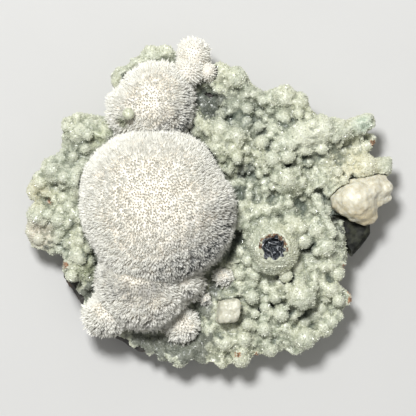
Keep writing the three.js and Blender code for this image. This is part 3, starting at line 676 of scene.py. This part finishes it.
# Mordenite: cores under the needles, and needles in tufts that gather in sheaves
greatOutline = [1, 0.91, 0.99, 0.99, 1.05, 1.06, 1, 0.97, 1.04, 1.04, 1.0, 1.03]  # every 30 degrees from +X
upperOutline = [1, 1, 1, 0.93, 0.83, 0.78, 0.96, 1.04, 1, 1, 1, 1.05]
lobeOutline = [1, 1, 1, 0.92, 0.8, 0.86, 0.96, 1, 1, 1, 1, 1]
puffGroups = {
    "great_puff": [
        dict(x=-17.4, y=-1.1, z=22, radius=25.3, up=23.5, down=9, needle=1.8, outline=greatOutline,
             dome=0.78),
    ],
    "lower_puffs": [
        dict(x=-22.2, y=-25.4, z=19, radius=15.7, up=16, down=6.4, needle=1.8),
        dict(x=-9.2, y=-24.8, z=20.5, radius=6.6, up=10.5, down=5, needle=1.8),
        dict(x=-33.8, y=-34.7, z=15.5, radius=8.6, up=9.5, down=2.6, needle=1.8, outline=lobeOutline),
        dict(x=-9.8, y=-38.9, z=13.6, radius=6.5, up=6.8, down=1.6, needle=1.8),
    ],
    "upper_puffs": [
        dict(x=-20, y=32.2, z=17.5, radius=14.7, up=15, down=5.2, needle=1.7, outline=upperOutline),
    ],
    "top_puffs": [
        dict(x=-7.8, y=42.4, z=17.5, radius=5.4, up=7, down=2.8, needle=1.2),
        dict(x=-6.1, y=47.8, z=15.5, radius=5.8, up=6.8, down=2.6, needle=1.2),
        dict(x=-1.6, y=42.2, z=17, radius=3.3, up=4.5, down=2.2, needle=0.8),
    ],
    "right_tuft": [dict(x=3.4, y=-23.5, z=18, radius=3.1, up=4, down=2, needle=1.2)],
    "small_tuft": [dict(x=-2.3, y=-30.6, z=16.5, radius=2.1, up=3.2, down=1.6, needle=1.0)],
}
puffNodes = {"right_tuft": "mordenite_tuft_right", "small_tuft": "mordenite_tuft_small"}
puff = {
    "coreSize": 0.5, "smallCoreSize": 0.25, "waves": 0.35, "waveSize": 3.2, "seed": 21,
    "seatFrom": 0.25, "seatOver": 0.2, "seatLeast": 0.1,  # where the core widens to fill its seat
    "spacing": 0.62, "smallSpacing": 0.55, "least": 0.86, "most": 1.08, "sink": 0.05, "lean": 0.07,
    "sheaf": 2.1, "smallSheaf": 0.5, "sheafCrowding": 1.3, "leastSheaves": 8,
    "gather": 0.36, "gatherFrom": 0.8, "shorten": 0.2, "longWithin": 0.4, "top": 0.45, "rim": 1.12,
    "buriedWithin": 0.5, "facing": -0.35, "recessShare": 0.5,
    "band": 0.55, "brightBelow": 0.35, "steepShade": 0.55, "gapFrom": 0.12, "gapOver": 0.3,
}
toRight, toFront = (0.62, -0.62, -0.48), (0.24, -0.82, -0.5)
shades = {  # the shaded side, how far it is faced for no and for full shade, and evenness
    "great_puff": (toRight, -0.2, 0.58, 0.75), "upper_puffs": (toRight, -0.1, 0.6, 0.6),
    "lower_puffs": (toFront, -0.1, 0.9, 0.0), "top_puffs": (toFront, 0.4, 1.3, 0.5),
    "right_tuft": (toFront, 0, 0.6, 0.4), "small_tuft": (toFront, 0, 0.6, 0.4),
}
tuft = {
    "needles": 7, "shortest": 0.65, "root": 0.125, "smallRoot": 0.2, "splay": (-0.2, 0.06), "foot": 1.5,
    "stray": 0.3, "seed": 4,
}
mordenite = {  # the balls' colours
    "root": (0.79, 0.775, 0.72, 1), "beigeRoot": (0.80, 0.74, 0.63, 1),
    "white": (0.84, 0.83, 0.76, 1), "bright": (0.90, 0.895, 0.84, 1), "shade": (0.10, 0.11, 0.11, 1),
    "felt": (0.72, 0.68, 0.59, 1), "paleFelt": (0.84, 0.81, 0.75, 1),
    "grey": (0.60, 0.62, 0.63, 1), "olive": (0.24, 0.26, 0.16, 1), "deepOlive": (0.10, 0.11, 0.06, 1),
}
shadeBand = [  # x, y and reach of the shaded needles between the great ball and its tier
    (-37.4, -19.6, 3.2), (-35.4, -24, 3.6), (-31.6, -27, 3.6), (-27, -28.4, 3.6), (-22, -28.6, 3.4),
    (-17.4, -27, 3.2), (-13.4, -23.4, 3.2),
]
recess = ((-29.4, 25.2, 27), 3.6)  # place and reach of the olive gap below the bead, where needles are left out and painted shade darkens it with an olive tint
greyPatch = ((-26.2, 32.8, 31), 2.8)  # place and reach of a greyer spot on the upper ball


def outlineShare(ball, x, y):  # how far a ball reaches that way, as a share of its radius
    outline = np.array(ball.get("outline", [1.0]))
    turns = np.arctan2(y, x) % math.tau * len(outline) / math.tau
    first = turns.astype(int) % len(outline)
    share = turns % 1
    share = share * share * (3 - 2 * share)
    return outline[first] * (1 - share) + outline[(first + 1) % len(outline)] * share


def corePlaces(ball, ways):  # the core lies a needle's length inside, and fills its seat below
    x, y, z = ways.T
    inside = np.clip((z + puff["seatFrom"]) / puff["seatOver"], puff["seatLeast"], 1)
    share = 1 - ball["needle"] / ball["radius"] * inside
    spread = ball["radius"] * share * outlineShare(ball, x, y)
    rise = np.where(z > 0, ball["up"] * np.abs(z) ** ball.get("dome", 1), ball["down"] * z) * share
    return np.stack([ball["x"] + spread * x, ball["y"] + spread * y, ball["z"] + rise], 1) * mm


def ballShare(places, ball):  # under 1 inside the ball's core, over 1 outside it
    x, y, z = (places / mm - np.array([ball["x"], ball["y"], ball["z"]])).T
    share = 1 - ball["needle"] / ball["radius"]
    level = np.hypot(x, y) / (ball["radius"] * share * outlineShare(ball, x, y))
    above = np.abs(z / ball["up"] / share) ** (1 / ball.get("dome", 1))
    return level ** 2 + np.where(z > 0, above, z / ball["down"] / share) ** 2


def puffCore(name, balls, size):
    whole = bmesh.new()
    for ball in balls:
        shape = bmesh.new()
        bmesh.ops.create_icosphere(shape, subdivisions=5, radius=1)
        one = newPiece("ball", shape)
        movePoints(one, corePlaces(ball, points(one)))
        whole.from_mesh(one.data)
        discard(one)
    core = newPiece(name + "_core", whole)
    remesh(core, size)
    roughen(core, puff["waveSize"], puff["waves"], puff["seed"])
    return core


def gather(core, seed, spacing, needle):  # needles lean to the middle of their sheaf and are longest there
    places = points(core)
    normals = points(core, "normal")
    dice = np.random.default_rng(seed)
    area = sum(face.area for face in core.data.polygons) / mm ** 2
    count = max(puff["leastSheaves"], int(puff["sheafCrowding"] * area / spacing ** 2))
    middles = places[dice.choice(len(places), min(count, len(places)), replace=False)]
    tree = KDTree(len(middles))
    for i, middle in enumerate(middles):
        tree.insert(middle, i)
    tree.balance()
    nearest = np.array([tree.find(place)[1] for place in places])
    toMiddle = (middles[nearest] - places) / (spacing * mm)
    toMiddle -= normals * (toMiddle * normals).sum(1)[:, None]
    distance = np.linalg.norm(toMiddle, axis=1)
    store(core, "flow", toMiddle * (puff["gather"] / np.maximum(distance, puff["gatherFrom"]))[:, None])
    rim = puff["rim"] - puff["top"] * np.clip(normals[:, 2], 0, 1) ** 3
    longer = 1 + puff["shorten"] * (puff["longWithin"] - np.clip(distance, 0, 1))
    store(core, "length", needle * rim * longer)
    return distance


def needlePaint(graph, place):
    broad = graph.noise(place, 6, 2)
    fine = graph.noise(place, 1.1, 2)
    shade = graph.attribute("shade")
    root = graph.mix(graph.step(broad, 0.42, 0.65), mordenite["root"], mordenite["beigeRoot"])
    root = graph.mix(shade, root, mordenite["shade"])
    white = graph.mix(graph.step(fine, 0.3, 0.6), mordenite["white"], mordenite["bright"])
    colour = graph.mix(graph.step(graph.attribute("tip") - shade * 0.5, 0.0, 0.45), root, white)
    grey = graph.near(place, *greyPatch)
    colour = graph.mix(grey * 0.6, colour, mordenite["grey"])
    # painted shade in the recess below the bead, olive-tinted
    olive = graph.near(place, *recess)
    colour = graph.mix(olive * 0.9, colour, mordenite["olive"])
    return {"Base Color": colour, "Roughness": fine * 0.25 + 0.35}


def corePaint(graph, place):
    middle = graph.noise(place, 1.2, 3)
    colour = graph.mix(graph.step(middle, 0.35, 0.68), mordenite["felt"], mordenite["paleFelt"])
    colour = graph.mix(graph.attribute("shade"), colour, mordenite["shade"])
    # painted shade in the recess below the bead, olive-tinted and darkest on the core
    olive = graph.near(place, *recess)
    return {
        "Base Color": graph.mix(olive, colour, mordenite["deepOlive"]),
        "Roughness": middle * 0.3 + 0.5,
        "Normal": bump(graph, graph.noise(place, 0.3, 2), 0.15, 0.8),
    }


needleMaterial = newMaterial("silkyNeedles", needlePaint, IOR=1.48)
coreMaterial = newMaterial("needleFelt", corePaint, IOR=1.48)
tuftShape = tuftTemplate(tuft, tuft["root"])
smallTuftShape = tuftTemplate(tuft, tuft["smallRoot"])

for name, balls in puffGroups.items():
    small = name in puffNodes
    core = puffCore(name, balls, puff["smallCoreSize" if small else "coreSize"])
    places = points(core)
    normals = points(core, "normal")
    buried = closeness(core, ["calcite_crust", "calcite_bead"], puff["buriedWithin"]) > 0
    for otherName, otherBalls in puffGroups.items():
        if otherName != name:
            for ball in otherBalls:
                buried |= ballShare(places, ball) < 1
    buried |= normals[:, 2] < puff["facing"]
    away = np.linalg.norm(places / mm - np.array(recess[0]), axis=1)
    buried |= away < puff["recessShare"] * recess[1]
    store(core, "open", np.where(buried, 0.0, 1.0))
    side, least, most, sheafShade = shades[name]
    upright = np.clip(normals[:, 2] / puff["brightBelow"], 0, 1)
    turned = np.clip((normals @ np.array(side) - least) / (most - least), 0, 1)
    turned *= puff["steepShade"] + (1 - puff["steepShade"]) * upright
    for x, y, reach in shadeBand:
        band = np.clip(1.5 - flatDistance(places, x, y) / reach, 0, 1)  # full within half the reach
        turned = np.maximum(turned, puff["band"] * band)
    nearest = np.abs([ballShare(places, ball) - 1 for ball in balls]).argmin(0)
    needle = np.array([ball["needle"] for ball in balls])[nearest]
    distance = gather(core, puff["seed"], puff["sheaf"] * (puff["smallSheaf"] if small else 1), needle)
    between = np.clip((distance - puff["gapFrom"]) / puff["gapOver"], 0, 1)
    store(core, "shade", turned * (sheafShade + (1 - sheafShade) * between))
    smoothShade(core)
    needles = copyOf(name + "_needles", core)
    scatter(needles, smallTuftShape if small else tuftShape, puff["smallSpacing" if small else "spacing"],
            puff["least"], puff["most"], puff["sink"], puff["lean"], puff["seed"], where="open", sheaves=True)
    smoothShade(needles, False)
    node = puffNodes.get(name, "mordenite_puff")
    finish(core, coreMaterial, "mordenite", node)
    finish(needles, needleMaterial, "mordenite", node)


# Basalt
basalt = {
    "skinSize": 0.7, "chipSize": 7, "chipDepth": 0.8, "flatBelow": 0.5, "seed": 31,
    "dark": (0.030, 0.029, 0.028, 1), "worn": (0.085, 0.078, 0.068, 1), "speck": (0.30, 0.31, 0.27, 1),
    "rust": (0.20, 0.09, 0.035, 1),
}


def basaltPaint(graph, place):
    middle = graph.noise(place, 4, 4, 0.65)
    fine = graph.noise(place, 0.5, 3)
    colour = graph.mix(graph.step(middle, 0.38, 0.68), basalt["dark"], basalt["worn"])
    colour = graph.mix(graph.step(fine, 0.64, 0.7) * 0.7, colour, basalt["speck"])
    stain = graph.step(graph.noise(place, 11, 3), 0.56, 0.68)
    return {
        "Base Color": graph.mix(stain * 0.75, colour, basalt["rust"]),
        "Roughness": fine * 0.3 + 0.6,
        "Normal": bump(graph, fine + middle, 0.5, 0.8),
    }


basaltPiece = newPiece("basalt_block", cadShape("basalt_base"))
remesh(basaltPiece, basalt["skinSize"])
lifted = np.clip(points(basaltPiece)[:, 2] / mm / basalt["flatBelow"] - 0.5, 0, 1)
roughen(basaltPiece, basalt["chipSize"], basalt["chipDepth"], basalt["seed"], lifted)
smoothShade(basaltPiece, False)
finish(basaltPiece, newMaterial("brokenBasalt", basaltPaint), "basalt", "basalt_base")


# Cream lump, cream rhomb and grey blade
cream = {
    "skinSize": 0.3, "startRounds": 12, "shrink": 0.25, "foldSize": 2.8, "foldDepth": 0.42, "seed": 44,
    "knobSpacing": 3.3, "knobLeast": 1.4, "knobMost": 2.8, "knobSink": 0.72, "evenRounds": 9,
    "creaseRounds": 20, "creaseReach": 0.4, "honeyFrom": 2, "honeyTo": -6,
    "wax": (0.58, 0.54, 0.41, 1), "paleWax": (0.69, 0.67, 0.56, 1), "honey": (0.54, 0.43, 0.23, 1),
    "crease": (0.55, 0.48, 0.32, 1),
}


def creamPaint(graph, place):
    broad = graph.noise(place, 6, 3)
    middle = graph.noise(place, 1.4, 4)
    height = graph.add("ShaderNodeSeparateXYZ", {}, {0: place}, 1)
    colour = graph.mix(graph.step(middle, 0.35, 0.65), cream["wax"], cream["paleWax"])
    low = graph.step(height, cream["honeyFrom"] * mm, cream["honeyTo"] * mm) * graph.step(broad, 0.3, 0.55)
    colour = graph.mix(low * 0.6, colour, cream["honey"])
    # painted shade: darker in the creases
    colour = graph.mix(graph.step(graph.attribute("crease"), 0.6, 0.95) * 0.45, colour, cream["crease"])
    return {
        "Base Color": colour,
        "Roughness": middle * 0.3 + 0.25,
        "Normal": bump(graph, graph.noise(place, 0.6, 3), 0.2, 0.5),
    }


creamMaterial = newMaterial("waxyCream", creamPaint, IOR=1.5, Subsurface_Weight=0.3,
                            Subsurface_Radius=(1, 0.9, 0.65), Subsurface_Scale=2 * mm)
lumpPiece = newPiece("cream_lump_skin", cadShape("cream_lump"))
remesh(lumpPiece, cream["skinSize"])
soften(lumpPiece, cream["startRounds"])
swell(lumpPiece, -cream["shrink"])
scatter(lumpPiece, bead, cream["knobSpacing"], cream["knobLeast"], cream["knobMost"], cream["knobSink"],
        seed=cream["seed"], keep=True)
remesh(lumpPiece, cream["skinSize"])
soften(lumpPiece, cream["evenRounds"])
roughen(lumpPiece, cream["foldSize"], cream["foldDepth"], cream["seed"])
storeCrease(lumpPiece, cream)
smoothShade(lumpPiece)
finish(lumpPiece, creamMaterial, "cream_calcite", "cream_lump")

rhomb = {
    "bevel": 0.9, "skinSize": 0.3, "evenRounds": 4, "grow": 0.3, "foldSize": 1.8, "foldDepth": 0.4,
    "creaseRounds": 12, "creaseReach": 0.3, "seed": 43,
    "wax": (0.50, 0.49, 0.39, 1), "paleWax": (0.58, 0.57, 0.47, 1), "edge": (0.66, 0.65, 0.54, 1),
}


def rhombPaint(graph, place):
    middle = graph.noise(place, 2, 3)
    colour = graph.mix(graph.step(middle, 0.35, 0.65), rhomb["wax"], rhomb["paleWax"])
    edge = graph.step(graph.attribute("crease"), 0.48, 0.2)
    return {
        "Base Color": graph.mix(edge * 0.5, colour, rhomb["edge"]),
        "Roughness": middle * 0.3 + 0.25,
        "Normal": bump(graph, graph.noise(place, 0.8, 3), 0.15, 0.5),
    }


rhombMaterial = newMaterial("paleRhomb", rhombPaint, IOR=1.5, Subsurface_Weight=0.3,
                            Subsurface_Radius=(1, 0.9, 0.7), Subsurface_Scale=2 * mm)
rhombShape = cadShape("cream_rhomb")
bmesh.ops.bevel(rhombShape, geom=rhombShape.edges[:], offset=rhomb["bevel"] * mm, offset_type="OFFSET",
                affect="EDGES", segments=2, profile=0.5, material=-1)
rhombPiece = newPiece("cream_rhomb_crystal", rhombShape)
remesh(rhombPiece, rhomb["skinSize"])
soften(rhombPiece, rhomb["evenRounds"])
swell(rhombPiece, rhomb["grow"])
roughen(rhombPiece, rhomb["foldSize"], rhomb["foldDepth"], rhomb["seed"])
storeCrease(rhombPiece, rhomb)
smoothShade(rhombPiece)
finish(rhombPiece, rhombMaterial, "cream_calcite", "cream_rhomb")

blade = {
    "skinSize": 0.35, "foldSize": 3.5, "foldDepth": 0.3, "creaseRounds": 12, "creaseReach": 0.4, "seed": 47,
    "dark": (0.003, 0.004, 0.002, 1), "clear": (0.044, 0.047, 0.028, 1), "edge": (0.18, 0.19, 0.16, 1),
}


def bladePaint(graph, place):
    middle = graph.noise(place, 2.4, 4)
    colour = graph.mix(graph.step(middle, 0.40, 0.72), blade["dark"], blade["clear"])
    # lighter on the edges: partly painted highlight, partly a dusty lighter edge
    edge = graph.step(graph.attribute("crease"), 0.44, 0.15)
    return {
        "Base Color": graph.mix(edge * 0.5, colour, blade["edge"]),
        "Roughness": middle * 0.3 + 0.45,
        "Normal": bump(graph, middle, 0.3, 0.4),
    }


bladeMaterial = newMaterial("greyGlass", bladePaint, IOR=1.33, Transmission_Weight=0.25)
bladePiece = newPiece("grey_blade_crystal", cadShape("grey_blade"))
remesh(bladePiece, blade["skinSize"])
roughen(bladePiece, blade["foldSize"], blade["foldDepth"], blade["seed"])
storeCrease(bladePiece, blade)
smoothShade(bladePiece)
finish(bladePiece, bladeMaterial, "grey_calcite", "grey_blade")


# Dark crumpled core of the stub, with its rusty rim
stub = {
    "edge": 3.6, "edgeBlur": 0.3, "wander": 1.5, "wanderSize": 1.6, "skinSize": 0.15,
    "fold": 0.9, "foldSize": 3, "fray": 0.7, "fraySize": 1.1, "spread": 0.2, "facing": 0.3,
    "paleSide": -0.4, "paleWander": 3, "paleBlur": 1.5, "creaseRounds": 10, "creaseReach": 0.12,
    "dark": (0.012, 0.015, 0.020, 1), "blue": (0.07, 0.08, 0.09, 1), "foilHighlight": (0.30, 0.31, 0.325, 1),
    "darkRust": (0.05, 0.028, 0.018, 1), "rust": (0.27, 0.16, 0.09, 1), "paleRim": (0.46, 0.48, 0.37, 1),
}


def stubPaint(graph, place):
    middle = graph.noise(place, 0.6, 3)
    ridge = graph.step(graph.attribute("crease"), 0.5, 0.25)
    dark = graph.mix(graph.step(middle, 0.38, 0.66), stub["dark"], stub["blue"])
    # painted highlight: the ridges of the folds lighter grey
    foilHighlight = graph.mix(ridge * 0.7, dark, stub["foilHighlight"])
    rusty = graph.mix(graph.step(middle, 0.40, 0.62), stub["darkRust"], stub["rust"])
    light = graph.attribute("pale") + graph.step(graph.noise(place, 1.1, 2), 0.5, 0.6)
    frayed = graph.mix(light, rusty, stub["paleRim"])
    rim = graph.step(graph.attribute("rim"), 0.3, 0.7)
    return {
        "Base Color": graph.mix(rim, foilHighlight, frayed),
        "Roughness": rim * 0.4 + 0.3,
        "Metallic": (1 - rim) * 0.4,
        "Normal": bump(graph, middle, 0.2, 0.7),
    }


corePiece = newPiece("stub_core", cadShape("stalactite_core"))
remesh(corePiece, stub["skinSize"])
places = points(corePiece).astype(float)
flatPlaces = [Vector((p[0], p[1], 0)) for p in places]
across = places[:, :2] / mm - np.array(stubMiddle)
away = np.hypot(*across.T)
wander = np.array([noise.noise(p / (stub["wanderSize"] * mm)) for p in flatPlaces])
rim = np.clip((away + wander * stub["wander"] - stub["edge"]) / stub["edgeBlur"] + 0.5, 0, 1)
folds = np.array([  # sharp ridges
    noise.ridged_multi_fractal(p / (stub["foldSize"] * mm), 1.0, 2.2, 2, 1.0, 2.0) for p in flatPlaces
])
folds = (folds - folds.mean()) * stub["fold"] * (1 - rim)
fraying = np.array([noise.noise(p / (stub["fraySize"] * mm)) for p in flatPlaces])
fraying = np.abs(fraying) * stub["fray"] * rim
facingUp = points(corePiece, "normal")[:, 2] > stub["facing"]
places[:, 2] += (folds + fraying) * facingUp * mm
places[:, :2] += across * (stub["spread"] * rim * facingUp / np.maximum(away, 1))[:, None] * mm
movePoints(corePiece, places)
pale = (stub["paleSide"] - across[:, 1] + wander * stub["paleWander"]) / stub["paleBlur"]
store(corePiece, "rim", rim)
store(corePiece, "pale", np.clip(pale, 0, 1))
storeCrease(corePiece, stub)
smoothShade(corePiece)
finish(corePiece, newMaterial("crumpledCore", stubPaint), "dark_core", "stalactite_core")

for template in (bead, grainShape, tuftShape, smallTuftShape):
    discard(template)
print("pieces finished")


# Stage, lights and camera
stage = {  # metres
    "floorSize": 4.0, "farthest": 10.0, "pale": (0.56, 0.56, 0.55, 1), "paler": (0.53, 0.53, 0.52, 1),
}
air = {"colour": (1.0, 0.99, 0.97, 1), "strength": 0.3}
photo = {"width": 133.12, "x": -1.44, "y": -1.44, "plane": 18, "distance": 1400, "sensor": 36}
lights = {  # place and size in metres, and watts
    "key": ((-0.27, 0.55, 1.37), 0.3, 26.5),
    "fill": ((0.6, -0.5, 1.2), 1.2, 1.2),
}


def floorPaint(graph, place):
    soft = graph.noise(place, 60, 2)
    return {"Base Color": graph.mix(soft, stage["pale"], stage["paler"])}


floorShape = bmesh.new()
bmesh.ops.create_grid(floorShape, x_segments=2, y_segments=2, size=stage["floorSize"] / 2)
floor = newPiece("floor", floorShape)
floor.data.materials.append(newMaterial("paleFloor", floorPaint, Roughness=0.8))

for name, (place, size, watts) in lights.items():
    lamp = bpy.data.lights.new(name, "AREA")
    lamp.size = size
    lamp.energy = watts
    holder = bpy.data.objects.new(name, lamp)
    holder.location = place
    holder.rotation_euler = (-Vector(place)).to_track_quat("-Z", "Y").to_euler()
    bpy.context.scene.collection.objects.link(holder)

world = bpy.data.worlds.new("studio")
world.use_nodes = True
background = world.node_tree.nodes["Background"]
background.inputs["Color"].default_value = air["colour"]
background.inputs["Strength"].default_value = air["strength"]
bpy.context.scene.world = world

cameraData = bpy.data.cameras.new("camera")
cameraData.sensor_width = photo["sensor"]
cameraData.lens = photo["sensor"] * photo["distance"] / photo["width"]
cameraData.clip_end = stage["farthest"]
camera = bpy.data.objects.new("camera", cameraData)
camera.location = Vector((photo["x"], photo["y"], photo["plane"] + photo["distance"])) * mm
bpy.context.scene.collection.objects.link(camera)
bpy.context.scene.camera = camera
bpy.context.scene.view_settings.view_transform = "Standard"

print("scene finished")
